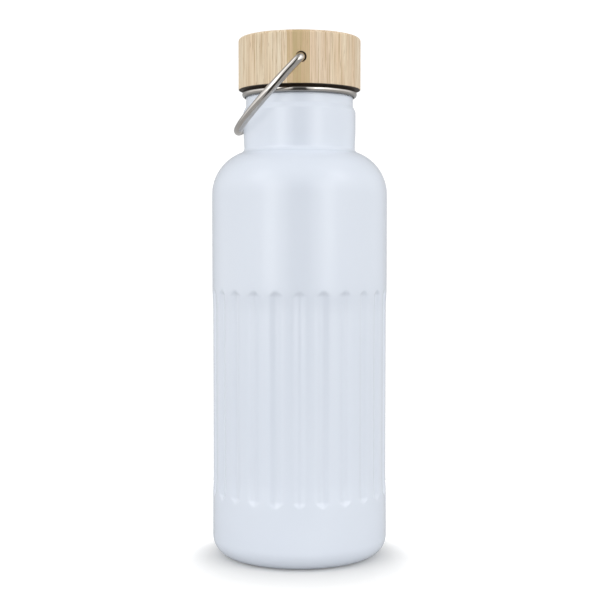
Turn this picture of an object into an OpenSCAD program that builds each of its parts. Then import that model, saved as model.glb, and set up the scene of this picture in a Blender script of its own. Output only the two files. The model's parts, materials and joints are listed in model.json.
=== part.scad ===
// Double-wall steel water bottle: a painted outer shell with a band of pressed
// flutes, a steel liner with the mouth and thread, a bamboo screw lid on a
// rolled steel cup, and a wire bail that swings over the lid.
// Millimetres, +Z up. The origin is the centre of the base, on the surface that
// the bottle stands on. The bail's pivot lies along Y.

/* [Body] */
// Outside radius of the body
body_r = 35; // [34:0.1:36]
// Height where the straight side ends and the shoulder starts
side_top = 144.5; // [135:0.5:146]
// Radius of the rounded corner at the base
base_corner = 7.8; // [7:0.1:8.5]
// Radius of the rounded shoulder
shoulder_round = 17.8; // [17:0.1:18.5]
// Sheet thickness of the outer shell and of both bases
shell_wall = 0.5; // [0.4:0.05:0.6]

/* [Neck] */
// Radius of the neck at the shoulder
neck_r = 22.1; // [22:0.1:22.6]
// Radius of the neck just below its step
neck_top_r = 22.4; // [22:0.1:22.8]
// Radius of the hollow blend between shoulder and neck
neck_blend = 2; // [1.5:0.1:2.5]
// Height of the lower edge of the step in the neck
step_z = 177.5; // [172:0.5:178]
// Radius of the collar above the step, inside the lid's ring
collar_r = 21.35; // [21.3:0.05:21.45]
// Height of the collar's top, where the shell is welded to the liner
collar_top = 184; // [183.5:0.1:184.4]

/* [Flutes] */
// Number of flutes round the body
flute_count = 24; // [22:1:26]
// Height of the lower end of the fluted band
flute_bottom = 24.3; // [15:0.1:40]
// Height of the upper end of the fluted band
flute_top = 107.5; // [90:0.1:112]
// Length over which a flute runs out at each end
flute_run = 2.5; // [2:0.5:6]
// Depth of a flute below the ridges beside it
flute_depth = 0.75; // [0.3:0.05:0.8]
// Depth of the ridges below the plain side of the body
band_depth = 0.28; // [0.1:0.02:0.4]
// Radius of a flute's hollow section
flute_round = 5; // [4:0.5:8]
// Direction of the first flute, in degrees from +X
flute_phase = 14; // [0:1:15]

/* [Liner] */
// Outside radius of the liner
liner_r = 32; // [31.5:0.1:32.4]
// Sheet thickness of the liner
liner_wall = 0.5; // [0.4:0.05:0.6]
// Height where the liner's straight side ends
liner_side_top = 142.5; // [133:0.5:143]
// Outside radius of the liner's neck, at the root of its thread
mouth_outer_r = 20; // [19.9:0.05:20.05]
// Inside radius of the mouth
mouth_r = 19; // [18.8:0.1:19.2]
// Height of the drinking rim
rim_z = 191.25; // [190.8:0.05:191.25]

/* [Thread] */
// Rise of the thread in one turn
thread_lead = 4; // [3.8:0.1:4.2]
// Turns of each thread
thread_turns = 1; // [0.8:0.1:1.1]
// Radius of the neck thread's crest
male_crest_r = 20.7; // [20.5:0.1:20.7]
// Radius of the lid thread's crest
female_crest_r = 20.3; // [20.25:0.05:20.4]

/* [Lid] */
// Radius of the bamboo cap
cap_r = 24.35; // [24:0.05:24.8]
// Height of the bamboo cap
cap_h = 20.4; // [18:0.1:24]
// Radius of the cap's rounded top edge
cap_edge = 1.3; // [0.8:0.1:2]
// Height of the cap's lower edge
cap_z = 186.2; // [186:0.1:186.4]
// Outside radius of the rolled steel ring under the cap
ring_r = 22.9; // [22.8:0.1:23.2]
// Height of the rolled steel ring
ring_h = 3.2; // [2.9:0.1:3.2]
// Outside radius of the plug that hangs in the mouth
plug_r = 18.3; // [18:0.1:18.4]
// Height of the plug's underside
plug_z = 180.4; // [178:0.2:184]

/* [Bail] */
// Diameter of the bail's wire
wire_d = 3.5; // [3:0.1:3.6]
// Height of the bail's pivot
pivot_z = 196; // [196:0.1:197]
// Distance of each leg from the centre plane, to the wire's middle
leg_y = 26.6; // [26.4:0.1:28]
// Distance from the pivot to the middle of the bow
bail_reach = 35.65; // [35:0.05:38]
// Angle of the hanging bail below the horizontal
bail_drop = 46.6; // [40:0.1:46.6]

/* [Hidden] */
$fn = 96;

// Base: the shell's lower edge, the pressed outer base and its cover
foot_r = 25.6;
outer_base_z = 2.5;
flange_z = 0.3;
dimple_r = 4.2;
dimple_h = 1;
dimple_slope = 1.5;
seal_hole_r = 0.8;
seal_bead_r = 3.4;
seal_bead_h = 0.7;
cover_z = 1.2;
cover_edge = 0.5;
cover_gap = 0.05;

// Neck: the step and the collar's rounded edge
step_h = 2;
collar_edge = 0.8;

// Flutes
groove_r = body_r - band_depth - flute_depth;
band_slope = 8;
flute_cut_h = flute_top - flute_bottom + 20;

// Liner and its base
inner_base_z = 6;
inner_corner = 8;
weld_z = 16;
liner_round = 15.8;
liner_blend = 2.5;
rim_round = (mouth_outer_r - mouth_r) / 2;

// Foil and getter in the vacuum space
foil_wall = 0.1;
foil_gap = 0.05;
foil_bottom = 20;
foil_top = liner_side_top - 4;
getter_x = 13;
getter_r = 4;
getter_h = 1.8;
holder_wall = 0.3;
holder_h = 2.2;

// Thread sections: width at the root and at the crest, and the sunk root
thread_root_w = 1.4;
thread_crest_w = 0.7;
thread_sink = 0.3;
thread_step = 10;
thread_fade = 30;
male_z = collar_top + 2.1;
female_z = male_z - thread_lead / 2;
female_start = 100;

// Lid: radii from the ring inwards, and heights from the rim upwards
cup_r = 22.3;
cup_wall = 0.5;
insert_r = cup_r - cup_wall;
insert_root_r = 21;
gasket_gap = 0.05;
gasket_z = rim_z + gasket_gap;
web_z = 192.4;
web_h = 0.8;
cup_top = web_z + web_h + cup_wall;
insert_bottom = cap_z - 1.3;
plug_wall = 1;
disc_h = 0.6;
cap_chamfer = 0.4;
ring_edge = 0.5;

// Screws that hold the insert and the cup to the bamboo
screw_count = 3;
screw_ring_r = 10;
screw_r = 1.25;
screw_head_r = 2.4;
screw_head_h = 1.4;
screw_l = 7;
recess_l = 2.6;
recess_w = 0.6;
recess_h = 0.7;

// Bail: the bend outside each hole and the foot inside it
wire_r = wire_d / 2;
bend_r = 2.1;
foot_end_y = 16;
hole_clearance = 0.1;
hole_end_gap = 0.4;

// Points along an arc round c, after its first point
function arc(c, r, a0, a1, n) = [
    for (i = [1:n])
        let (a = a0 + (a1 - a0) * i / n)
        [c.x + r * cos(a), c.y + r * sin(a)]
];

function reversed(line) = [for (i = [len(line) - 1:-1:0]) line[i]];

// Outline up a shoulder, after the top of the side: a round of radius big,
// then a hollow blend of radius small that is tangent to it and to the neck
function shoulder(side_r, z, big, neck, small) =
    let (
        middle = [side_r - big, z],
        reach = neck + small - middle.x,
        rise = sqrt(pow(big + small, 2) - reach * reach),
        turn = atan2(rise, reach)
    )
    concat(
        arc(middle, big, 0, turn, 12),
        arc([neck + small, z + rise], small, 180 + turn, 180, 5)
    );

// The outer shell's outline from foot to collar, moved inwards by t
function shell_line(t) = concat(
    [[foot_r, t], [body_r - base_corner, t]],
    arc([body_r - base_corner, base_corner], base_corner - t, -90, 0, 8),
    [
        [body_r - t, flute_bottom],
        [body_r - t - band_depth, flute_bottom + band_slope],
        [body_r - t - band_depth, flute_top - band_slope],
        [body_r - t, flute_top],
        [body_r - t, side_top]
    ],
    shoulder(body_r - t, side_top, shoulder_round - t, neck_r - t, neck_blend + t),
    [
        [neck_top_r - t, step_z],
        [collar_r - t, step_z + step_h],
        [collar_r - t, collar_top - collar_edge]
    ],
    arc([collar_r - collar_edge, collar_top - collar_edge], collar_edge - t, 0, 90, 4),
    [[mouth_outer_r, collar_top - t]]
);

// One flute's hollow, cut t deeper for the inside of the sheet
module flute(t) {
    slope = flute_run / (band_depth + flute_depth);
    deep = groove_r - t - 0.3;
    high = body_r + 1;
    intersection() {
        translate([groove_r + flute_round, 0, flute_bottom - 10])
            cylinder(r = flute_round + t, h = flute_cut_h);
        rotate([90, 0, 0])
            linear_extrude(12, center = true)
                polygon([
                    [deep, flute_bottom + slope * (body_r - t - deep)],
                    [high, flute_bottom + slope * (body_r - t - high)],
                    [high, flute_top - slope * (body_r - t - high)],
                    [deep, flute_top - slope * (body_r - t - deep)]
                ]);
    }
}

module flutes(t) {
    for (i = [0:flute_count - 1])
        rotate(flute_phase + i * 360 / flute_count) flute(t);
}

module outer_shell() {
    color("#e1e6ee") difference() {
        difference() {
            rotate_extrude() polygon(concat([[0, 0]], shell_line(0), [[0, collar_top]]));
            flutes(0);
        }
        difference() {
            rotate_extrude() polygon(concat(
                [[0, -1], [foot_r, -1]],
                shell_line(shell_wall),
                [[mouth_outer_r, collar_top + 1], [0, collar_top + 1]]
            ));
            flutes(shell_wall);
        }
    }
}

module outer_base() {
    top = outer_base_z + shell_wall;
    color("#b9bbbd") rotate_extrude() polygon([
        [foot_r, flange_z],
        [foot_r, top],
        [dimple_r + dimple_slope + shell_wall, top],
        [dimple_r + shell_wall, top + dimple_h],
        [seal_hole_r, top + dimple_h],
        [seal_hole_r, outer_base_z + dimple_h],
        [dimple_r, outer_base_z + dimple_h],
        [dimple_r + dimple_slope, outer_base_z],
        [foot_r - shell_wall, outer_base_z],
        [foot_r - shell_wall, flange_z]
    ]);
}

// Solder glass that closes the evacuation hole from outside
module vacuum_seal_bead() {
    top = outer_base_z + dimple_h;
    color("#5d6468") rotate_extrude() polygon(concat(
        [[0, top - seal_bead_h], [seal_bead_r - seal_bead_h, top - seal_bead_h]],
        arc([seal_bead_r - seal_bead_h, top], seal_bead_h, -90, 0, 4),
        [[seal_hole_r, top], [seal_hole_r, top + shell_wall], [0, top + shell_wall]]
    ));
}

module base_cover() {
    edge_r = foot_r - shell_wall - cover_gap;
    color("#c9cbcd") rotate_extrude() polygon([
        [0, cover_z],
        [edge_r - cover_edge, cover_z],
        [edge_r, cover_z + cover_edge],
        [edge_r, outer_base_z],
        [edge_r - shell_wall, outer_base_z],
        [edge_r - shell_wall, cover_z + shell_wall + 0.2],
        [edge_r - shell_wall - 0.2, cover_z + shell_wall],
        [0, cover_z + shell_wall]
    ]);
}

module getter_holder() {
    color("#a9abad") translate([getter_x, 0, outer_base_z + shell_wall]) difference() {
        cylinder(r = getter_r + holder_wall, h = holder_h);
        translate([0, 0, holder_wall]) cylinder(r = getter_r, h = holder_h);
    }
}

module vacuum_getter() {
    color("#4c4d50") translate([getter_x, 0, outer_base_z + shell_wall + holder_wall])
        cylinder(r = getter_r, h = getter_h);
}

module heat_shield_foil() {
    color("#b87345") rotate_extrude()
        translate([liner_r + foil_gap, foil_bottom])
            square([foil_wall, foil_top - foil_bottom]);
}

module inner_base() {
    middle = [liner_r - inner_corner, inner_base_z + inner_corner];
    color("#bfc1c3") rotate_extrude() polygon(concat(
        [[0, inner_base_z], [middle.x, inner_base_z]],
        arc(middle, inner_corner, -90, 0, 8),
        [[liner_r, weld_z], [liner_r - liner_wall, weld_z]],
        [[liner_r - liner_wall, middle.y]],
        arc(middle, inner_corner - liner_wall, 0, -90, 8),
        [[0, inner_base_z + liner_wall]]
    ));
}

// A helical ridge with a trapezium section. Its root is sunk in the wall at
// root, and its crest sinks into the wall over the fade angle at each end.
module thread_ridge(root, crest, z, start, turns) {
    side = crest > root ? 1 : -1;
    sunk = root - side * thread_sink;
    count = ceil(turns * 360 / thread_step);
    rings = [
        for (i = [0:count])
            let (
                a = start + i * turns * 360 / count,
                rise = z + thread_lead * a / 360,
                from_end = min(i, count - i) * turns * 360 / count,
                grown = min(1, from_end / thread_fade),
                top = root - side * thread_sink / 3 + grown * (crest - root + side * thread_sink / 3)
            )
            [
                for (p = [
                    [sunk, -thread_root_w / 2], [top, -thread_crest_w / 2],
                    [top, thread_crest_w / 2], [sunk, thread_root_w / 2]
                ])
                    [p.x * cos(a), p.x * sin(a), rise + p.y]
            ]
    ];
    points = [for (ring = rings) each ring];
    walls = [
        for (i = [0:count - 1], j = [0:3])
            let (k = (j + 1) % 4)
            each [
                [4 * i + j, 4 * i + k, 4 * i + 4 + k],
                [4 * i + j, 4 * i + 4 + k, 4 * i + 4 + j]
            ]
    ];
    last = 4 * count;
    ends = [
        [0, 2, 1], [0, 3, 2],
        [last, last + 1, last + 2], [last, last + 2, last + 3]
    ];
    all = concat(walls, ends);
    polyhedron(points, side > 0 ? all : [for (f = all) reversed(f)]);
}

module inner_liner() {
    inner_side = liner_r - liner_wall;
    outside = concat(
        [[liner_r, weld_z], [liner_r, liner_side_top]],
        shoulder(liner_r, liner_side_top, liner_round, mouth_outer_r, liner_blend),
        [[mouth_outer_r, rim_z - rim_round]],
        arc([mouth_r + rim_round, rim_z - rim_round], rim_round, 0, 180, 8)
    );
    inside = concat(
        [[inner_side, weld_z], [inner_side, liner_side_top]],
        shoulder(inner_side, liner_side_top, liner_round - liner_wall, mouth_r,
            liner_blend + liner_wall)
    );
    color("#c4c6c8") union() {
        rotate_extrude() polygon(concat(outside, reversed(inside)));
        thread_ridge(mouth_outer_r, male_crest_r, male_z, 0, thread_turns);
    }
}

module lid_gasket() {
    inner = plug_r + gasket_gap;
    outer = mouth_outer_r + 0.5;
    top = web_z - gasket_gap;
    color("#e9e7e1") rotate_extrude() polygon([
        [inner, gasket_z],
        [outer, gasket_z],
        [outer, top - 0.3],
        [outer - 0.3, top],
        [inner, top]
    ]);
}

// Puts its children at each screw
module at_screws() {
    for (i = [0:screw_count - 1])
        rotate(90 + i * 360 / screw_count) translate([screw_ring_r, 0, 0]) children();
}

module insert_screws() {
    color("#9d9fa2") at_screws() difference() {
        union() {
            translate([0, 0, web_z - screw_head_h]) cylinder(r = screw_head_r, h = screw_head_h);
            translate([0, 0, web_z]) cylinder(r = screw_r, h = screw_l);
        }
        for (a = [0, 90])
            rotate(a) translate([-recess_l / 2, -recess_w / 2, web_z - screw_head_h - 0.1])
                cube([recess_l, recess_w, recess_h + 0.1]);
    }
}

module screw_holes() {
    at_screws() translate([0, 0, web_z - 1]) cylinder(r = screw_r, h = screw_l + 1);
}

// Moulded ring with the lid's thread, and the hollow plug that hangs from it
module thread_insert() {
    color("#d9d8d4") difference() {
        union() {
            rotate_extrude() polygon([
                [insert_root_r, insert_bottom],
                [insert_r, insert_bottom],
                [insert_r, web_z + web_h],
                [0, web_z + web_h],
                [0, web_z],
                [plug_r - plug_wall, web_z],
                [plug_r - plug_wall, plug_z],
                [plug_r, plug_z],
                [plug_r, web_z],
                [insert_root_r, web_z]
            ]);
            thread_ridge(insert_root_r, female_crest_r, female_z, female_start, thread_turns);
        }
        screw_holes();
    }
}

module lid_insulation() {
    bottom = plug_z + disc_h;
    color("#f0efe9") translate([0, 0, bottom])
        cylinder(r = plug_r - plug_wall, h = web_z - screw_head_h - bottom);
}

module lid_disc() {
    color("#cccdcf") rotate_extrude() polygon([
        [0, plug_z],
        [plug_r - plug_wall - 0.2, plug_z],
        [plug_r - plug_wall, plug_z + 0.2],
        [plug_r - plug_wall, plug_z + disc_h],
        [0, plug_z + disc_h]
    ]);
}

// Steel cup pressed into the bamboo, with its edge rolled into the ring below
module lid_cup() {
    ring_z = cap_z - ring_h;
    low = ring_z + ring_edge;
    high = cap_z - ring_edge;
    color("#b4b3b1") difference() {
        rotate_extrude() polygon(concat(
            [[insert_r, low]],
            arc([insert_r + ring_edge, low], ring_edge, 180, 270, 4),
            [[ring_r - ring_edge, ring_z]],
            arc([ring_r - ring_edge, low], ring_edge, -90, 0, 4),
            [[ring_r, high]],
            arc([ring_r - ring_edge, high], ring_edge, 0, 90, 4),
            [
                [cup_r, cap_z],
                [cup_r, cup_top],
                [0, cup_top],
                [0, cup_top - cup_wall],
                [insert_r, cup_top - cup_wall]
            ]
        ));
        screw_holes();
    }
}

module bamboo_cap() {
    top = cap_z + cap_h;
    color("#dcc9a3") difference() {
        rotate_extrude() polygon(concat(
            [
                [cup_r, cap_z],
                [cap_r - cap_chamfer, cap_z],
                [cap_r, cap_z + cap_chamfer],
                [cap_r, top - cap_edge]
            ],
            arc([cap_r - cap_edge, top - cap_edge], cap_edge, 0, 90, 6),
            [[0, top], [0, cup_top], [cup_r, cup_top]]
        ));
        screw_holes();
        for (side = [0, 180])
            rotate(side) translate([0, foot_end_y - hole_end_gap, pivot_z]) rotate([-90, 0, 0])
                cylinder(r = wire_r + hole_clearance, h = cap_r);
    }
}

// The bail laid flat towards -X, with its pivot on the Y axis
module bail_flat() {
    for (side = [0, 1]) mirror([0, side, 0]) {
        translate([0, foot_end_y, 0]) rotate([-90, 0, 0])
            cylinder(r = wire_r, h = leg_y - bend_r - foot_end_y);
        translate([-bend_r, leg_y - bend_r, 0])
            rotate_extrude(angle = 90) translate([bend_r, 0]) circle(r = wire_r);
        translate([leg_y - bail_reach, leg_y, 0]) rotate([0, 90, 0])
            cylinder(r = wire_r, h = bail_reach - leg_y - bend_r);
    }
    translate([leg_y - bail_reach, 0, 0]) rotate(90)
        rotate_extrude(angle = 180) translate([leg_y, 0]) circle(r = wire_r);
}

module bail_handle() {
    color("#a8a5a0") translate([0, 0, pivot_z]) rotate([0, -bail_drop, 0]) bail_flat();
}

outer_shell();
outer_base();
base_cover();
vacuum_seal_bead();
vacuum_getter();
getter_holder();
heat_shield_foil();
inner_liner();
inner_base();
lid_gasket();
thread_insert();
lid_insulation();
lid_disc();
insert_screws();
lid_cup();
bamboo_cap();
bail_handle();
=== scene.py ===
"""Looks of a double-wall water bottle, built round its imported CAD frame.

Metres, +Z up, in the CAD's own frame: the origin is the centre of the base, the
bail's pivot lies along Y and the bail hangs towards -X. Lengths written in
millimetres are multiplied by MM. Round pieces are outlines of (radius, height)
points turned round Z; an outline runs out along the bottom, up the outside and
back in along the top.
"""

import json
import math

import bmesh
import bpy
from mathutils import Matrix, Vector


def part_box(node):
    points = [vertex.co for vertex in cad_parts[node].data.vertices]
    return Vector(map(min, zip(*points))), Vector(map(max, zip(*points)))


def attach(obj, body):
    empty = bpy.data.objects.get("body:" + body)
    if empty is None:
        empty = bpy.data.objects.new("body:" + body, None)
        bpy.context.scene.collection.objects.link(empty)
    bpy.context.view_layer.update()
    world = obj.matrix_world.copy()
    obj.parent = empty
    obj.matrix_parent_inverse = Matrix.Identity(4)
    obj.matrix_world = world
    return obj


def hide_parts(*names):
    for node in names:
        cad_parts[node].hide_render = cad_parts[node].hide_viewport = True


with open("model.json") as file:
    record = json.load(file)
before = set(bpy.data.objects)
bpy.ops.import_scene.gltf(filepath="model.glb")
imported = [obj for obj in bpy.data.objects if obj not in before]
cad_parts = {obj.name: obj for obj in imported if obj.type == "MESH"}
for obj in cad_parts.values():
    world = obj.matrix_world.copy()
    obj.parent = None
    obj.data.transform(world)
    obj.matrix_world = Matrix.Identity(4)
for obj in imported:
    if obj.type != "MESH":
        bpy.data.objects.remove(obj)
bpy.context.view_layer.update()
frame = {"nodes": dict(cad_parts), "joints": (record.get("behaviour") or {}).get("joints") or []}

MM = 0.001
TAU = 2 * math.pi


# ---------------------------------------------------------------- sizes

def round_node(node):
    """Outside radius, lowest and highest point of a round CAD node."""
    low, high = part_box(node)
    return (high.y - low.y) / 2, low.z, high.z


BODY_R, _, COLLAR_TOP = round_node("outer_shell")
LINER_R, LINER_BOTTOM, RIM_Z = round_node("inner_liner")
CAP_R, CAP_Z, CAP_TOP = round_node("bamboo_cap")
RING_R, RING_Z, CUP_TOP = round_node("lid_cup")
INSERT_R, PLUG_Z, INSERT_TOP = round_node("thread_insert")
GASKET_R, GASKET_Z, GASKET_TOP = round_node("lid_gasket")
DISC_R, DISC_Z, DISC_TOP = round_node("lid_disc")
COVER_R, COVER_Z, COVER_TOP = round_node("base_cover")
PIVOT = Vector(next(j["pos_m"] for j in frame["joints"] if j["name"] == "bail_swing"))

# Outer shell, and the sheet that it shares with the liner and the cover
SHEET = 0.5 * MM
BASE_CORNER = 7.8 * MM
FOOT_R = 25.6 * MM
SIDE_TOP = 144.5 * MM
SHOULDER_ROUND = 17.8 * MM
NECK_R = 22.1 * MM
NECK_TOP_R = 22.4 * MM
NECK_BLEND = 2.0 * MM
STEP_Z = 177.5 * MM
STEP_H = 2.0 * MM
COLLAR_R = 21.35 * MM
COLLAR_EDGE = 0.8 * MM

# Pressed flutes
FLUTES = 24
FLUTE_PHASE = math.radians(14)
FLUTE_BOTTOM = 24.3 * MM
FLUTE_TOP = 107.5 * MM
FLUTE_RUN = 2.5 * MM
FLUTE_DEPTH = 0.75 * MM
FLUTE_SHARP = 2.5
FLUTE_SOFT = 0.12
BAND_DEPTH = 0.28 * MM
BAND_RUN = 9 * MM
SHELL_COLUMNS = FLUTES * 18

# Liner, mouth and threads
LINER_SIDE_TOP = 142.5 * MM
LINER_ROUND = 15.8 * MM
LINER_BLEND = 2.5 * MM
MOUTH_OUTER_R = 20 * MM
MOUTH_R = 19 * MM
THREAD_LEAD = 4 * MM
THREAD_ROOT_W = 1.4 * MM
THREAD_CREST_W = 0.6 * MM
THREAD_FADE = math.radians(30)
MALE_H = 0.7 * MM
MALE_Z = COLLAR_TOP + 2.1 * MM
FEMALE_H = 0.7 * MM
FEMALE_Z = MALE_Z - THREAD_LEAD / 2
FEMALE_START = math.radians(100)

# Lid
CUP_R = 22.3 * MM
RING_GAP = 0.35 * MM
CUP_WALL = 0.5 * MM
INSERT_ROOT_R = 21 * MM
PLUG_R = 18.3 * MM
PLUG_WALL = 1.0 * MM
WEB_Z = INSERT_TOP - 0.8 * MM
CAP_EDGE = 1.3 * MM
CAP_CHAMFER = 0.12 * MM

# Bail
WIRE_R = 1.75 * MM
LEG_Y = 26.6 * MM
BAIL_REACH = 35.65 * MM
BAIL_DROP = math.radians(46.6)
BEND_R = 2.1 * MM
FOOT_END_Y = 16 * MM
HOLE_R = 2.05 * MM
HOLE_SHIFT = 0.17 * MM
HOLE_END_Y = 15.6 * MM

# Camera: distance from the axis, height, direction and lens
CAMERA_AZIMUTH = math.radians(-1)
CAMERA_DISTANCE = 0.5057
CAMERA_HEIGHT = 0.1252
CAMERA_PITCH = math.radians(-2.587)
CAMERA_LENS = 75.37
CAMERA_SHIFT_X = 0.0008

# Floor: its glow starts at a radius and grows over a run, which is longer in front of the bottle; the dim
# ring near the base is a painted soft shadow
FLOOR_R = 0.16
GLOW_START = BODY_R - 8 * MM
GLOW_RUN = 16 * MM
GLOW_RUN_FRONT = 45 * MM
GLOW_LEVEL = 0.6
CONTACT_LEVEL = 0.15

# Light tent: levels by degrees from the camera's direction, and by degrees above the horizon.
# HIGH, TOP and LOW are levels that take over above and below, by their SHARE. The windows are two
# brighter patches that are added, one on each side.
TENT_ROUND = [(0, 0.1), (11, 0.13), (18, 1.48), (27, 1.95), (33, 3.4), (42, 3.4), (52, 1.9), (110, 1.2),
              (145, 0.5), (180, 0.44)]
TENT_HIGH_ROUND = [(0, 0.52), (40, 0.95), (70, 1.0), (110, 0.8), (150, 0.45), (180, 0.55)]
TENT_HIGH_SHARE = [(18, 0), (40, 1)]
TENT_TOP = 0.4
TENT_TOP_SHARE = [(60, 0), (80, 1)]
TENT_LOW_ROUND = [(0, 0.06), (12, 0.07), (30, 0.59), (180, 0.59)]
TENT_LOW_SHARE = [(-8, 1), (-1, 0)]
TENT_WINDOW = 1.6
TENT_WINDOW_MOST = 4
TENT_WINDOW_ROUND = [(38, 0), (54, 1), (66, 1), (84, 0)]
TENT_WINDOW_RISE = [(20, 0), (32, 1), (44, 1), (58, 0)]


# ---------------------------------------------------------------- outlines

def arc(centre, radius, start, end, steps):
    """Points along an arc of an outline, after its first; angles in degrees."""
    points = []
    for i in range(1, steps + 1):
        a = math.radians(start + (end - start) * i / steps)
        points.append((centre[0] + radius * math.cos(a), centre[1] + radius * math.sin(a)))
    return points


def shoulder(side_r, z, big, neck, small):
    """Points up a round shoulder and a hollow blend into the neck, after the side's top."""
    middle = (side_r - big, z)
    reach = neck + small - middle[0]
    rise = math.sqrt((big + small) ** 2 - reach ** 2)
    turn = math.degrees(math.atan2(rise, reach))
    return arc(middle, big, 0, turn, 24) + arc((neck + small, z + rise), small, 180 + turn, 180, 10)


def rounded(corners, steps=6):
    """An outline with rounded corners, from (radius, height, corner radius) corners."""
    points = []
    for i, (r, z, bend) in enumerate(corners):
        here = Vector((r, z))
        if not bend:
            points.append((r, z))
            continue
        back = (Vector(corners[i - 1][:2]) - here).normalized()
        ahead = (Vector(corners[(i + 1) % len(corners)][:2]) - here).normalized()
        half = back.angle(ahead) / 2
        middle = here + (back + ahead).normalized() * bend / math.sin(half)
        first = here + back * bend / math.tan(half) - middle
        last = here + ahead * bend / math.tan(half) - middle
        start = math.atan2(first.y, first.x)
        turn = (math.atan2(last.y, last.x) - start + math.pi) % TAU - math.pi
        for k in range(steps + 1):
            a = start + turn * k / steps
            points.append((middle.x + bend * math.cos(a), middle.y + bend * math.sin(a)))
    return points


def with_rows(outline, low, high, gap):
    """The outline with rows added between two heights, so that no edge there is longer than gap."""
    points = [outline[0]]
    for (r0, z0), (r1, z1) in zip(outline, outline[1:]):
        cuts = [z for z in (low, high) if min(z0, z1) < z < max(z0, z1)]
        stops = [z0] + sorted(cuts, reverse=z1 < z0) + [z1]
        for za, zb in zip(stops, stops[1:]):
            inside = low <= (za + zb) / 2 <= high
            count = max(1, math.ceil(abs(zb - za) / gap)) if inside else 1
            for k in range(1, count + 1):
                z = za + (zb - za) * k / count
                share = (z - z0) / (z1 - z0) if z1 != z0 else k / count
                points.append((r0 + (r1 - r0) * share, z))
    return points


# ---------------------------------------------------------------- meshes

def lathe(outline, columns=96, shape=None):
    """Vertices and faces of an outline turned round Z. shape(r, z, angle) may change the radius.

    An outline with its ends on the axis makes a disc, any other one makes a ring."""
    verts, faces, rings = [], [], []
    for r, z in outline:
        count = 1 if r < 1e-9 else columns
        rings.append([len(verts) + c for c in range(count)])
        for c in range(count):
            a = TAU * c / columns
            radius = shape(r, z, a) if shape and count > 1 else r
            verts.append((radius * math.cos(a), radius * math.sin(a), z))
    pairs = list(zip(rings, rings[1:]))
    if len(rings[0]) > 1:
        pairs.append((rings[-1], rings[0]))
    for low, high in pairs:
        for c in range(columns):
            d = (c + 1) % columns
            corners = [low[c % len(low)], low[d % len(low)], high[d % len(high)], high[c % len(high)]]
            faces.append(list(dict.fromkeys(corners)))
    return verts, faces


def make_object(name, verts, faces, crease=35):
    """A mesh object with smooth faces that break at edges sharper than crease, in degrees."""
    mesh = bpy.data.meshes.new(name)
    mesh.from_pydata(verts, [], faces)
    builder = bmesh.new()
    builder.from_mesh(mesh)
    bmesh.ops.recalc_face_normals(builder, faces=builder.faces)
    builder.to_mesh(mesh)
    builder.free()
    mesh.shade_smooth()
    mesh.set_sharp_from_angle(angle=math.radians(crease))
    piece = bpy.data.objects.new(name, mesh)
    bpy.context.scene.collection.objects.link(piece)
    return piece


def place(piece, body, slot, material, *nodes):
    """Puts a finished piece on its body, with its material, and hides the CAD nodes that it stands for. The
    slot is not used.
    """
    piece.data.materials.clear()
    piece.data.materials.append(material)
    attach(piece, body)
    if nodes:
        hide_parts(*nodes)
    return piece


def sweep(path, radius, sides):
    """Vertices and faces of a round wire along a flat path, with flattened round ends."""
    normal = (path[1] - path[0]).cross(path[-1] - path[len(path) // 2]).normalized()
    verts, faces = [], []
    last = len(path) - 1
    flatten = 0.4
    dome = [(math.cos(a), math.sin(a) * flatten) for a in map(math.radians, (80, 50, 20))]
    stations = []
    first_way = (path[1] - path[0]).normalized()
    last_way = (path[-1] - path[-2]).normalized()
    for shrink, out in dome:
        stations.append((path[0] - first_way * radius * out, first_way, shrink))
    for i, point in enumerate(path):
        way = (path[min(i + 1, last)] - path[max(i - 1, 0)]).normalized()
        stations.append((point, way, 1))
    for shrink, out in reversed(dome):
        stations.append((path[-1] + last_way * radius * out, last_way, shrink))
    for point, way, shrink in stations:
        side = normal.cross(way).normalized()
        for k in range(sides):
            a = TAU * k / sides
            verts.append(point + (normal * math.cos(a) + side * math.sin(a)) * radius * shrink)
    for i in range(len(stations) - 1):
        for k in range(sides):
            m = (k + 1) % sides
            faces.append([i * sides + k, i * sides + m, (i + 1) * sides + m, (i + 1) * sides + k])
    faces.append(list(range(sides)))
    faces.append([(len(stations) - 1) * sides + k for k in range(sides)])
    return verts, faces


def smooth(share):
    """A smooth rise from 0 to 1 over a share from 0 to 1."""
    share = min(1.0, max(0.0, share))
    return share * share * (3 - 2 * share)


# ---------------------------------------------------------------- shapes

def flute_depth(z, angle):
    """How far the pressed band sinks the shell at a height and an angle.

    The whole band is a little lower than the plain side. Each flute is a narrow
    groove with a round bottom, and it rises out over a short run at its ends."""
    to_end = min(z - FLUTE_BOTTOM, FLUTE_TOP - z)
    if to_end <= 0:
        return 0.0
    band = BAND_DEPTH * smooth(to_end / BAND_RUN)
    wave = ((1 + math.cos(FLUTES * (angle - FLUTE_PHASE))) / 2) ** FLUTE_SHARP
    lift = 1 - smooth(to_end / FLUTE_RUN)
    sunk = FLUTE_DEPTH * (wave - lift)
    soft = FLUTE_SOFT * FLUTE_DEPTH
    return band + (sunk + math.sqrt(sunk * sunk + soft * soft * lift)) / 2


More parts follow.
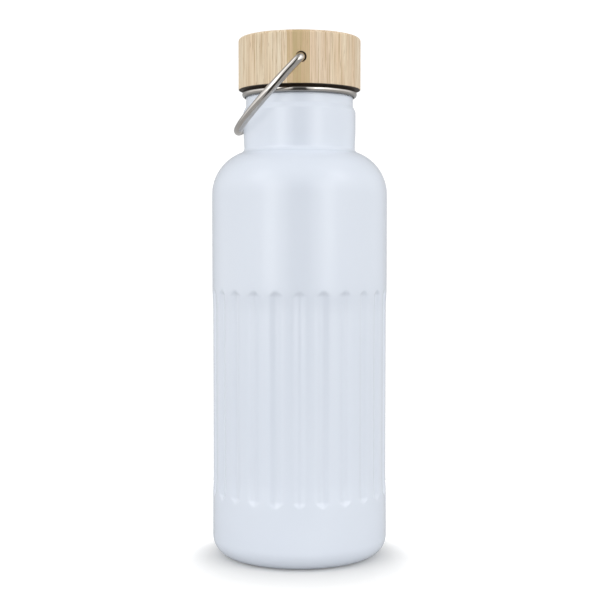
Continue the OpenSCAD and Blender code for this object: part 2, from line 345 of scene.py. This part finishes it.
def shell_outline(inset):
    """The outer shell's outline from foot to collar, moved inwards by inset."""
    corner = (BODY_R - BASE_CORNER, BASE_CORNER)
    edge = (COLLAR_R - COLLAR_EDGE, COLLAR_TOP - COLLAR_EDGE)
    step = rounded([
        (NECK_TOP_R - inset, STEP_Z - 8 * MM, 0),
        (NECK_TOP_R - inset, STEP_Z, 1.6 * MM),
        (COLLAR_R - inset, STEP_Z + STEP_H, 1.6 * MM),
        (COLLAR_R - inset, edge[1], 0),
    ], 8)
    return (
        [(FOOT_R, inset), (corner[0], inset)]
        + arc(corner, BASE_CORNER - inset, -90, 0, 20)
        + [(BODY_R - inset, SIDE_TOP)]
        + shoulder(BODY_R - inset, SIDE_TOP, SHOULDER_ROUND - inset, NECK_R - inset, NECK_BLEND + inset)
        + step
        + arc(edge, COLLAR_EDGE - inset, 0, 90, 6)
        + [(MOUTH_OUTER_R, COLLAR_TOP - inset)]
    )


def fluted(r, z, angle):
    """The shell's radius with the flutes pressed in."""
    return r - flute_depth(z, angle)


def helix_ridge(z, angle, first_z, start, height):
    """Height of a one-turn helical ridge at a point: full on its crest, fading at both ends."""
    tallest = 0.0
    for wrap in range(-1, 3):
        along = angle + TAU * wrap - start
        if 0 <= along <= TAU:
            middle = first_z + THREAD_LEAD * (along + start) / TAU
            flank = (THREAD_ROOT_W / 2 - abs(z - middle)) / ((THREAD_ROOT_W - THREAD_CREST_W) / 2)
            fade = smooth(min(along, TAU - along) / THREAD_FADE)
            tallest = max(tallest, height * smooth(flank) * fade)
    return tallest


def neck_thread(r, z, angle):
    """The liner's radius with the neck thread on its outside."""
    if r < MOUTH_OUTER_R - 0.01 * MM or z < COLLAR_TOP:
        return r
    return r + helix_ridge(z, angle, MALE_Z, 0, MALE_H)


def lid_thread(r, z, angle):
    """The insert's radius with the lid thread on its inside."""
    if abs(r - INSERT_ROOT_R) > 0.01 * MM:
        return r
    return r - helix_ridge(z, angle, FEMALE_Z, FEMALE_START, FEMALE_H)


def bail_path():
    """The wire's middle line, from one foot round the bow to the other."""
    flat = [(0.0, FOOT_END_Y), (0.0, LEG_Y - BEND_R - 2 * MM)]
    flat += [(0.0, LEG_Y - BEND_R)]
    flat += arc((-BEND_R, LEG_Y - BEND_R), BEND_R, 0, 90, 12)
    bow_x = LEG_Y - BAIL_REACH
    flat += [(-BEND_R + (bow_x + BEND_R) * k / 4, LEG_Y) for k in range(1, 4)]
    flat += [(bow_x, LEG_Y)]
    half = flat + arc((bow_x, 0.0), LEG_Y, 90, 180, 36)
    whole = half + [(x, -y) for x, y in reversed(half[:-1])]
    tilt = Matrix.Rotation(-BAIL_DROP, 3, "Y")
    return [PIVOT + tilt @ Vector((x, y, 0)) for x, y in whole]


# ---------------------------------------------------------------- materials

class Surface:
    """A material with a Principled shader, and short calls for the nodes that feed it."""

    def __init__(self, name, **constants):
        self.material = bpy.data.materials.new(name)
        self.material.use_nodes = True
        self.tree = self.material.node_tree
        self.shader = self.tree.nodes["Principled BSDF"]
        self.place = self.add("ShaderNodeTexCoord").outputs["Object"]
        for key, value in constants.items():
            self.shader.inputs[key.replace("_", " ")].default_value = value

    def add(self, kind, inputs=None, **settings):
        """A node with its settings, and its inputs set or linked."""
        node = self.tree.nodes.new(kind)
        for key, value in settings.items():
            setattr(node, key, value)
        for key, value in (inputs or {}).items():
            self.feed(node.inputs[key], value)
        return node

    def feed(self, socket, value):
        """Links a socket to another node's output, or sets its value."""
        if isinstance(value, bpy.types.NodeSocket):
            self.tree.links.new(value, socket)
        else:
            socket.default_value = value

    def stretched(self, sizes):
        """Object coordinates divided by a feature size along each axis, in metres."""
        scale = [1 / size for size in sizes]
        return self.add("ShaderNodeMapping", {"Vector": self.place, "Scale": scale}).outputs["Vector"]

    def noise(self, sizes, detail=2, roughness=0.5):
        """Noise from 0 to 1 whose features have the given sizes along X, Y and Z."""
        inputs = {"Vector": self.stretched(sizes), "Scale": 1, "Detail": detail, "Roughness": roughness}
        return self.add("ShaderNodeTexNoise", inputs).outputs["Fac"]

    def math(self, operation, a, b=0.0):
        """One operation on two numbers."""
        return self.add("ShaderNodeMath", {0: a, 1: b}, operation=operation).outputs[0]

    def spread(self, value, low, high, from_low=0.0, from_high=1.0):
        """A value carried from one range to another and kept inside it."""
        inputs = {"Value": value, "From Min": from_low, "From Max": from_high, "To Min": low, "To Max": high}
        return self.add("ShaderNodeMapRange", inputs).outputs["Result"]

    def ramp(self, value, stops):
        """A colour ramp of (position, colour) stops."""
        node = self.add("ShaderNodeValToRGB", {"Fac": value})
        elements = node.color_ramp.elements
        while len(elements) < len(stops):
            elements.new(0.5)
        for element, (position, colour) in zip(elements, stops):
            element.position = position
            element.color = (*colour, 1)
        return node.outputs["Color"]

    def mix(self, share, a, b):
        """Two colours mixed."""
        node = self.add("ShaderNodeMix", data_type="RGBA")
        self.feed(node.inputs[0], share)
        self.feed(node.inputs[6], a)
        self.feed(node.inputs[7], b)
        return node.outputs[2]

    def bump(self, height, depth, strength=1.0, below=None):
        """Bump of a real depth in metres, linked to the shader."""
        inputs = {"Height": height, "Distance": depth, "Strength": strength}
        if below is not None:
            inputs["Normal"] = below
        out = self.add("ShaderNodeBump", inputs).outputs["Normal"]
        self.feed(self.shader.inputs["Normal"], out)
        return out

    def set(self, key, value):
        """Links or sets one of the shader's inputs."""
        self.feed(self.shader.inputs[key], value)

    def hole_share(self):
        """1 inside the bail's holes, 0 away from them: the mask of the painted shade in the holes."""
        middle = (HOLE_SHIFT, 0, PIVOT.z + HOLE_SHIFT)
        offset = self.add("ShaderNodeVectorMath", {0: self.place, 1: middle}, operation="SUBTRACT").outputs[0]
        flat = self.add("ShaderNodeVectorMath", {0: offset, 1: (1, 0, 1)}, operation="MULTIPLY").outputs[0]
        away = self.add("ShaderNodeVectorMath", {0: flat}, operation="LENGTH").outputs["Value"]
        return self.spread(away, 1.0, 0.0, HOLE_R + 0.02 * MM, HOLE_R + 0.14 * MM)

    def from_axis(self):
        """Distance from the bottle's axis, in metres."""
        flat = self.add("ShaderNodeVectorMath", {0: self.place, 1: (1, 1, 0)}, operation="MULTIPLY")
        return self.add("ShaderNodeVectorMath", {0: flat.outputs[0]}, operation="LENGTH").outputs["Value"]


def powder_coat():
    """Satin powder coat: cool pale grey, with a faint orange peel."""
    s = Surface("powder_coat", IOR=1.5, Specular_IOR_Level=0.5)
    cloud = s.noise((40 * MM, 40 * MM, 60 * MM), 2)
    s.set("Base Color", s.ramp(cloud, [(0.3, (0.662, 0.710, 0.788)), (0.7, (0.680, 0.726, 0.800))]))
    peel = s.noise((0.9 * MM, 0.9 * MM, 0.9 * MM), 3)
    grain = s.noise((0.18 * MM, 0.18 * MM, 0.18 * MM), 2)
    s.set("Roughness", s.spread(peel, 0.19, 0.22, 0.3, 0.7))
    low = s.bump(peel, 0.0008 * MM, 0.5)
    s.bump(grain, 0.0003 * MM, 0.4, low)
    return s.material


def brushed_steel(name, tone, roughness, circular):
    """Steel with fine brushing: in circles round the axis, or along Z."""
    s = Surface(name, Metallic=1.0)
    if circular:
        line = s.add("ShaderNodeTexNoise", {"W": s.math("MULTIPLY", s.from_axis(), 1 / (0.12 * MM)),
                                            "Scale": 1, "Detail": 3}, noise_dimensions="1D").outputs["Fac"]
    else:
        line = s.noise((0.1 * MM, 0.1 * MM, 8 * MM), 3)
    smear = s.noise((9 * MM, 9 * MM, 9 * MM), 3)
    s.set("Base Color", s.ramp(smear, [(0.3, [0.93 * t for t in tone]), (0.7, tone)]))
    s.set("Roughness", s.spread(line, roughness - 0.05, roughness + 0.08, 0.3, 0.7))
    s.bump(line, 0.006 * MM, 0.7)
    return s.material


def polished_steel():
    """Drawn and polished steel of the bail and the rolled ring, with faint marks and painted shade on the
    ring's lower edge.
    """
    s = Surface("polished_steel", Metallic=1.0)
    smear = s.noise((5 * MM, 5 * MM, 5 * MM), 3)
    marks = s.noise((0.25 * MM, 0.25 * MM, 0.25 * MM), 2)
    colour = s.ramp(smear, [(0.3, (0.47, 0.445, 0.415)), (0.7, (0.53, 0.505, 0.48))])
    height = s.add("ShaderNodeSeparateXYZ", {0: s.place}).outputs["Z"]
    # Painted shade: the ring's lower bead, near its edge, is mixed towards dark grey.
    low = s.spread(height, 1.0, 0.0, RING_Z + 0.3 * MM, RING_Z + 0.8 * MM)
    near = s.spread(s.from_axis(), 1.0, 0.0, RING_R + 0.3 * MM, RING_R + 0.6 * MM)
    s.set("Base Color", s.mix(s.math("MULTIPLY", low, near), colour, (0.2, 0.2, 0.2, 1)))
    s.set("Roughness", s.spread(smear, 0.05, 0.08, 0.3, 0.7))
    s.bump(marks, 0.001 * MM, 0.5)
    return s.material


# Bamboo strips: where each starts along X, and its tone
STRIPS = [
    (-23.0, (0.77, 0.66, 0.49)),
    (-17.8, (0.75, 0.635, 0.465)),
    (-11.4, (0.77, 0.665, 0.505)),
    (-5.3, (0.50, 0.385, 0.205)),
    (3.4, (0.74, 0.61, 0.46)),
    (11.6, (0.78, 0.66, 0.49)),
    (18.7, (0.73, 0.615, 0.46)),
]


def bamboo():
    """Laminated bamboo: strips of different tone side by side, with upright fibres and dark pores.

    The underside and the holes' walls are painted nearly black: painted shade for the dark gap under the cap
    and in the holes."""
    s = Surface("bamboo", IOR=1.45, Specular_IOR_Level=0.3)
    parts = s.add("ShaderNodeSeparateXYZ", {0: s.place}).outputs
    x, height = parts["X"], parts["Z"]
    waver = s.spread(s.noise((8 * MM, 8 * MM, 30 * MM), 1), -0.4 * MM, 0.4 * MM)
    across = s.spread(s.math("ADD", x, waver), 0.0, 1.0, -CAP_R - MM, CAP_R + MM)
    strips = s.add("ShaderNodeValToRGB", {"Fac": across})
    strips.color_ramp.interpolation = "CONSTANT"
    elements = strips.color_ramp.elements
    while len(elements) < len(STRIPS):
        elements.new(0.5)
    for element, (start, tone) in zip(elements, STRIPS):
        element.position = max(0.0, (start * MM + CAP_R + MM) / (2 * (CAP_R + MM)))
        element.color = (*tone, 1)
    streak = s.noise((2.2 * MM, 2.2 * MM, 60 * MM), 3, 0.6)
    colour = s.mix(s.spread(streak, 0.0, 0.75, 0.42, 0.7), strips.outputs["Color"], (0.71, 0.53, 0.35, 1))
    fibre = s.noise((0.5 * MM, 0.5 * MM, 24 * MM), 4, 0.7)
    colour = s.mix(s.spread(fibre, 0.0, 1.0, 0.46, 0.68), colour, (0.49, 0.34, 0.19, 1))
    pore = s.noise((0.5 * MM, 0.5 * MM, 7 * MM), 2, 0.5)
    colour = s.mix(s.spread(pore, 0.0, 0.7, 0.64, 0.74), colour, (0.32, 0.18, 0.09, 1))
    # Painted shade: the cap's underside and the holes' walls are mixed to nearly black.
    painted_shade = s.math("MAXIMUM", s.hole_share(), s.spread(height, 1.0, 0.0, CAP_Z, CAP_Z + 0.03 * MM))
    s.set("Base Color", s.mix(painted_shade, colour, (0.045, 0.028, 0.018, 1)))
    s.set("Roughness", s.spread(fibre, 0.50, 0.65, 0.3, 0.7))
    s.bump(fibre, 0.02 * MM, 0.5)
    return s.material


def moulded(name, low, high, roughness, **constants):
    """Moulded plastic, silicone or foam: two close tones and a fine grain."""
    s = Surface(name, **constants)
    grain = s.noise((0.35 * MM, 0.35 * MM, 0.35 * MM), 3)
    cloud = s.noise((6 * MM, 6 * MM, 6 * MM), 2)
    s.set("Base Color", s.ramp(cloud, [(0.3, low), (0.7, high)]))
    s.set("Roughness", s.spread(grain, roughness - 0.06, roughness + 0.06, 0.3, 0.7))
    s.bump(grain, 0.01 * MM, 0.5)
    return s.material


def foil():
    """Copper foil, creased by hand, with painted shade darkening its creases."""
    s = Surface("copper_foil", Metallic=1.0)
    crease = s.add("ShaderNodeTexVoronoi", {"Vector": s.stretched((6 * MM, 6 * MM, 9 * MM)), "Scale": 1},
                   feature="DISTANCE_TO_EDGE").outputs["Distance"]
    # Painted shade: the colour is darker along the creases.
    s.set("Base Color", s.ramp(crease, [(0.0, (0.55, 0.27, 0.15)), (0.4, (0.78, 0.42, 0.25))]))
    s.set("Roughness", s.spread(crease, 0.35, 0.18, 0.0, 0.3))
    s.bump(crease, 0.15 * MM, 0.5)
    return s.material


COAT = powder_coat()
BRUSHED = brushed_steel("brushed_steel", (0.62, 0.62, 0.61), 0.26, True)
LINER = brushed_steel("liner_steel", (0.58, 0.58, 0.58), 0.30, False)
PLAIN_STEEL = brushed_steel("plain_steel", (0.45, 0.45, 0.46), 0.38, True)
POLISHED = polished_steel()
BAMBOO = bamboo()
PP = moulded("moulded_pp", (0.66, 0.66, 0.63), (0.70, 0.70, 0.67), 0.42, Subsurface_Weight=0.08)
SILICONE = moulded("silicone", (0.74, 0.72, 0.67), (0.78, 0.76, 0.71), 0.5, Subsurface_Weight=0.15)
FOAM = moulded("foam", (0.78, 0.77, 0.72), (0.84, 0.83, 0.79), 0.85)
FOIL = foil()
GLASS_BEAD = moulded("solder_glass", (0.05, 0.06, 0.065), (0.09, 0.10, 0.11), 0.2)
GETTER = moulded("getter_metal", (0.07, 0.07, 0.072), (0.10, 0.10, 0.10), 0.8)


# ---------------------------------------------------------------- pieces

def build_shell():
    """The painted outer shell, with flutes pressed through its sheet."""
    ends = MM + BAND_RUN
    skin = []
    for inset in (0.0, SHEET):
        line = shell_outline(inset)
        line = with_rows(line, FLUTE_BOTTOM - MM, FLUTE_BOTTOM + ends, 0.4 * MM)
        line = with_rows(line, FLUTE_TOP - ends, FLUTE_TOP + MM, 0.4 * MM)
        line = with_rows(line, FLUTE_BOTTOM + ends, FLUTE_TOP - ends, 12 * MM)
        skin.append(line)
    outline = skin[0] + skin[1][::-1]
    shell = make_object("shell_skin", *lathe(outline, SHELL_COLUMNS, fluted))
    place(shell, "bottle", "powder_coat", COAT, "outer_shell")


def build_liner():
    """The steel liner, with its drinking rim and neck thread."""
    wall = SHEET
    rim = (MOUTH_OUTER_R - MOUTH_R) / 2
    outside = [(LINER_R, LINER_BOTTOM), (LINER_R, LINER_SIDE_TOP)]
    outside += shoulder(LINER_R, LINER_SIDE_TOP, LINER_ROUND, MOUTH_OUTER_R, LINER_BLEND)
    outside += [(MOUTH_OUTER_R, COLLAR_TOP), (MOUTH_OUTER_R, RIM_Z - rim)]
    outside = with_rows(outside, COLLAR_TOP, RIM_Z - rim, 0.2 * MM)
    outside += arc((MOUTH_R + rim, RIM_Z - rim), rim, 0, 180, 12)
    inner = LINER_R - wall
    inside = [(inner, LINER_BOTTOM), (inner, LINER_SIDE_TOP)]
    inside += shoulder(inner, LINER_SIDE_TOP, LINER_ROUND - wall, MOUTH_R, LINER_BLEND + wall)
    liner = make_object("liner_skin", *lathe(outside + inside[::-1], 144, neck_thread))
    place(liner, "bottle", "liner_steel", LINER, "inner_liner")


def build_base_cover():
    """The steel disc under the base, with a pressed ring and a rolled edge."""
    press_r = 15 * MM
    press_h = 0.35 * MM
    corners = [
        (0, COVER_Z + press_h, 0),
        (press_r, COVER_Z + press_h, 1.5 * MM),
        (press_r + 1.2 * MM, COVER_Z, 1.5 * MM),
        (COVER_R, COVER_Z, 0.5 * MM),
        (COVER_R, COVER_TOP, 0),
        (COVER_R - SHEET, COVER_TOP, 0),
        (COVER_R - SHEET, COVER_Z + SHEET, 0.2 * MM),
        (press_r + MM, COVER_Z + SHEET, 1.2 * MM),
        (press_r, COVER_Z + 0.3 * MM + SHEET, 1.2 * MM),
        (0, COVER_Z + press_h + SHEET, 0),
    ]
    cover = make_object("base_disc", *lathe(rounded(corners, 5), 128))
    place(cover, "bottle", "brushed_steel", BRUSHED, "base_cover")


def build_gasket():
    """The silicone seal, with two lips that press on the rim."""
    low, high = GASKET_Z, GASKET_TOP
    inner = PLUG_R + 0.05 * MM
    corners = [
        (inner, low + 0.3 * MM, 0.1 * MM),
        (19.1 * MM, low + 0.3 * MM, 0.15 * MM),
        (19.25 * MM, low, 0.12 * MM),
        (19.7 * MM, low, 0.12 * MM),
        (19.85 * MM, low + 0.3 * MM, 0.15 * MM),
        (GASKET_R - 0.3 * MM, low + 0.3 * MM, 0.1 * MM),
        (GASKET_R, low + 0.45 * MM, 0.1 * MM),
        (GASKET_R, high - 0.2 * MM, 0.15 * MM),
        (GASKET_R - 0.2 * MM, high, 0.1 * MM),
        (inner, high, 0.1 * MM),
    ]
    gasket = make_object("gasket_ring", *lathe(rounded(corners, 4), 128))
    place(gasket, "seal", "silicone", SILICONE, "lid_gasket")


def build_insert():
    """The moulded insert: the outer wall with the lid thread, the web and the hollow plug."""
    low = CAP_Z - 1.3 * MM
    plug_in = PLUG_R - PLUG_WALL
    wall = [(INSERT_ROOT_R, WEB_Z), (INSERT_ROOT_R, low + 0.25 * MM)]
    wall = with_rows(wall, low, WEB_Z, 0.2 * MM)
    rest = rounded([
        (INSERT_ROOT_R, low, 0.2 * MM),
        (INSERT_R, low, 0.2 * MM),
        (INSERT_R, INSERT_TOP, 0.2 * MM),
        (0, INSERT_TOP, 0),
        (0, WEB_Z, 0),
        (plug_in, WEB_Z, 0),
        (plug_in, PLUG_Z, 0.3 * MM),
        (PLUG_R, PLUG_Z, 0.3 * MM),
        (PLUG_R, WEB_Z, 0),
        (INSERT_ROOT_R, WEB_Z, 0),
    ], 4)
    start = next(i for i, (r, _) in enumerate(rest) if r == 0)
    ring = rest[start + 1:] + wall[1:] + rest[:start + 1]
    insert = make_object("insert_moulding", *lathe(ring, 144, lid_thread))
    place(insert, "lid", "moulded_pp", PP, "thread_insert")


def build_lid_disc():
    """The steel disc that faces the drink, with a pressed step."""
    corners = [
        (0, DISC_Z + 0.3 * MM, 0),
        (11 * MM, DISC_Z + 0.3 * MM, 1.2 * MM),
        (12 * MM, DISC_Z, 1.2 * MM),
        (DISC_R, DISC_Z, 0.25 * MM),
        (DISC_R, DISC_TOP, 0),
        (0, DISC_TOP, 0),
    ]
    disc = make_object("plug_disc", *lathe(rounded(corners, 5), 128))
    place(disc, "lid", "brushed_steel", BRUSHED, "lid_disc")


def build_cup():
    """The steel cup, with its edge rolled into a round bead under the bamboo."""
    bead = (CAP_Z - RING_GAP - RING_Z) / 2
    middle = (RING_R - bead, RING_Z + bead)
    inner = CUP_R - CUP_WALL
    first = -math.degrees(math.acos((inner + 0.15 * MM - middle[0]) / bead))
    last = math.degrees(math.acos((CUP_R + 0.35 * MM - middle[0]) / bead))
    low = middle[1] + bead * math.sin(math.radians(first))
    wall = rounded([
        (CUP_R, CAP_Z - 0.3 * MM, 0),
        (CUP_R, CUP_TOP, 0.8 * MM),
        (0, CUP_TOP, 0),
        (0, CUP_TOP - CUP_WALL, 0),
        (inner, CUP_TOP - CUP_WALL, 0.3 * MM),
        (inner, low + 0.2 * MM, 0),
    ], 6)
    start = next(i for i, (r, _) in enumerate(wall) if r == 0)
    ring = wall[start + 1:] + arc(middle, bead, first, last, 24) + wall[:start + 1]
    cup = make_object("steel_cup", *lathe(ring, 192))
    place(cup, "lid", "polished_steel", POLISHED, "lid_cup")


def build_cap():
    """The bamboo cap, with its cavity and the two holes of the bail."""
    corners = [
        (CUP_R, CAP_Z, 0),
        (CAP_R - CAP_CHAMFER, CAP_Z, 0.08 * MM),
        (CAP_R, CAP_Z + CAP_CHAMFER, 0.12 * MM),
        (CAP_R, CAP_TOP, CAP_EDGE),
        (0, CAP_TOP, 0),
        (0, CUP_TOP, 0),
        (CUP_R, CUP_TOP, 0),
    ]
    outline = rounded(corners, 10)
    start = next(i for i, (r, _) in enumerate(outline) if r == 0)
    ring = outline[start + 1:] + outline[:start + 1]
    ring = with_rows(ring, CAP_Z + MM, CAP_TOP - 2 * MM, 1.5 * MM)
    cap = make_object("bamboo_body", *lathe(ring, 192))
    flare = 0.1 * MM
    drill = [
        (0, HOLE_END_Y, 0),
        (HOLE_R, HOLE_END_Y, 0),
        (HOLE_R, CAP_R - flare, 0),
        (HOLE_R + 2.5 * flare, CAP_R + 1.5 * flare, 0),
        (0, CAP_R + 1.5 * flare, 0),
    ]
    for side in (-90, 90):
        cutter = make_object("drill", *lathe(rounded(drill), 48))
        middle = Matrix.Translation((HOLE_SHIFT, 0, PIVOT.z + HOLE_SHIFT))
        cutter.data.transform(middle @ Matrix.Rotation(math.radians(side), 4, "X"))
        cut = cap.modifiers.new("hole", "BOOLEAN")
        cut.operation = "DIFFERENCE"
        cut.solver = "EXACT"
        cut.object = cutter
        with bpy.context.temp_override(object=cap, active_object=cap):
            bpy.ops.object.modifier_apply(modifier=cut.name)
        bpy.data.objects.remove(cutter)
    cap.data.set_sharp_from_angle(angle=math.radians(28))
    place(cap, "lid", "bamboo", BAMBOO, "bamboo_cap")


def build_bail():
    """The wire bail, one smooth tube from foot to foot."""
    bail = make_object("bail_wire", *sweep(bail_path(), WIRE_R, 32), crease=60)
    place(bail, "bail", "polished_steel", POLISHED, "bail_handle")
    bail.visible_diffuse = False
    bail.visible_shadow = False


def finish_nodes():
    """Materials for the CAD nodes that are shown as they are."""
    shown = {
        "outer_base": BRUSHED, "vacuum_seal_bead": GLASS_BEAD, "vacuum_getter": GETTER,
        "getter_holder": PLAIN_STEEL, "heat_shield_foil": FOIL, "inner_base": LINER,
        "lid_insulation": FOAM, "insert_screws": PLAIN_STEEL,
    }
    for node, material in shown.items():
        mesh = frame["nodes"][node].data
        mesh.materials.clear()
        mesh.materials.append(material)


# ---------------------------------------------------------------- stage

def build_floor():
    """A small white floor. It glows less close to the bottle and over a longer run in front: a painted soft
    shadow on top of the real contact shadow, kept soft and grey.
    """
    bpy.ops.mesh.primitive_circle_add(vertices=96, radius=FLOOR_R, fill_type="NGON")
    floor = bpy.context.object
    floor.name = "floor"
    s = Surface("floor_white", Roughness=0.9, Specular_IOR_Level=0.0)
    seen = s.add("ShaderNodeLightPath").outputs["Is Camera Ray"]
    s.set("Base Color", s.mix(seen, (0.63, 0.63, 0.63, 1), (0.82, 0.82, 0.815, 1)))
    s.set("Emission Color", (1, 1, 1, 1))
    away = s.from_axis()
    y = s.add("ShaderNodeSeparateXYZ", {0: s.place}).outputs["Y"]
    front = s.math("POWER", s.spread(s.math("DIVIDE", y, away), 1.0, 0.0, -1.0, 1.0), 3.0)
    run = s.math("ADD", s.math("MULTIPLY", front, GLOW_RUN_FRONT), GLOW_RUN)
    share = s.spread(s.math("DIVIDE", s.math("SUBTRACT", away, GLOW_START), run), 0.0, 1.0)
    # Painted light: a little extra glow under the base's rounded edge, seen by the camera only.
    contact = s.spread(away, CONTACT_LEVEL, 0.0, BODY_R - 7 * MM, BODY_R - 3.5 * MM)
    glow = s.math("ADD", s.math("MULTIPLY", s.math("POWER", share, 1.5), GLOW_LEVEL), contact)
    s.set("Emission Strength", s.math("MULTIPLY", glow, seen))
    floor.data.materials.append(s.material)


def build_world():
    """A light tent round the camera: a dark gap in front, and a softbox and a higher window on each side."""
    world = bpy.data.worlds.new("studio")
    bpy.context.scene.world = world
    world.use_nodes = True
    tree = world.node_tree
    tree.nodes.clear()

    def add(kind, inputs=None, **settings):
        """A node with its settings, and its inputs set or linked."""
        node = tree.nodes.new(kind)
        for key, value in settings.items():
            setattr(node, key, value)
        for key, value in (inputs or {}).items():
            if isinstance(value, bpy.types.NodeSocket):
                tree.links.new(value, node.inputs[key])
            else:
                node.inputs[key].default_value = value
        return node

    def math_node(operation, a, b=0.0):
        """One operation on two numbers."""
        return add("ShaderNodeMath", {0: a, 1: b}, operation=operation).outputs[0]

    def ramp(value, stops):
        """A smooth ramp over degrees, from the first stop to the last."""
        low, high = stops[0][0], stops[-1][0]
        share = math_node("DIVIDE", math_node("SUBTRACT", value, math.radians(low)), math.radians(high - low))
        node = add("ShaderNodeValToRGB", {"Fac": share})
        node.color_ramp.interpolation = "EASE"
        elements = node.color_ramp.elements
        while len(elements) < len(stops):
            elements.new(0.5)
        for element, (degrees, level) in zip(elements, stops):
            element.position = (degrees - low) / (high - low)
            element.color = (level, level, level, 1)
        return node.outputs["Color"]

    def mix(share, a, b):
        """Two levels mixed."""
        node = add("ShaderNodeMix", data_type="RGBA")
        for number, value in ((0, share), (6, a), (7, b)):
            if isinstance(value, bpy.types.NodeSocket):
                tree.links.new(value, node.inputs[number])
            else:
                node.inputs[number].default_value = value
        return node.outputs[2]

    way = add("ShaderNodeTexCoord").outputs["Generated"]
    turned = add("ShaderNodeVectorRotate", {"Vector": way, "Angle": -CAMERA_AZIMUTH}, rotation_type="Z_AXIS")
    parts = add("ShaderNodeSeparateXYZ", {0: turned.outputs[0]})
    turn = math_node("ARCTAN2", parts.outputs["X"], math_node("MULTIPLY", parts.outputs["Y"], -1.0))
    turn = math_node("ABSOLUTE", turn)
    rise = math_node("ARCSINE", parts.outputs["Z"])
    level = mix(ramp(rise, TENT_HIGH_SHARE), ramp(turn, TENT_ROUND), ramp(turn, TENT_HIGH_ROUND))
    level = mix(ramp(rise, TENT_TOP_SHARE), level, (TENT_TOP, TENT_TOP, TENT_TOP, 1))
    level = mix(ramp(rise, TENT_LOW_SHARE), level, ramp(turn, TENT_LOW_ROUND))
    window = mix(ramp(rise, TENT_WINDOW_RISE), (0, 0, 0, 1), ramp(turn, TENT_WINDOW_ROUND))
    window = mix(TENT_WINDOW / TENT_WINDOW_MOST, (0, 0, 0, 1), window)
    most = (TENT_WINDOW_MOST,) * 3
    total = add("ShaderNodeVectorMath", {0: window, 1: most, 2: level}, operation="MULTIPLY_ADD").outputs[0]
    light = add("ShaderNodeBackground", {"Color": total, "Strength": 1.0})
    backdrop = add("ShaderNodeBackground", {"Color": (1, 1, 1, 1), "Strength": 1.1})
    seen = add("ShaderNodeLightPath").outputs["Is Camera Ray"]
    both = add("ShaderNodeMixShader", {0: seen, 1: light.outputs[0], 2: backdrop.outputs[0]})
    out = add("ShaderNodeOutputWorld")
    tree.links.new(both.outputs[0], out.inputs[0])


def build_camera():
    """The camera, a little to the left of -Y and just above the flutes."""
    data = bpy.data.cameras.new("camera")
    data.sensor_width = 36
    data.lens = CAMERA_LENS
    data.shift_x = CAMERA_SHIFT_X
    data.clip_start = 0.01
    camera = bpy.data.objects.new("camera", data)
    bpy.context.scene.collection.objects.link(camera)
    camera.location = (
        CAMERA_DISTANCE * math.sin(CAMERA_AZIMUTH),
        -CAMERA_DISTANCE * math.cos(CAMERA_AZIMUTH),
        CAMERA_HEIGHT,
    )
    camera.rotation_euler = (math.pi / 2 + CAMERA_PITCH, 0, CAMERA_AZIMUTH)
    bpy.context.scene.camera = camera


build_camera()
build_world()
build_floor()
bpy.context.scene.view_settings.view_transform = "Standard"

build_shell()
build_liner()
build_base_cover()
build_gasket()
build_insert()
build_lid_disc()
build_cup()
build_cap()
build_bail()
finish_nodes()
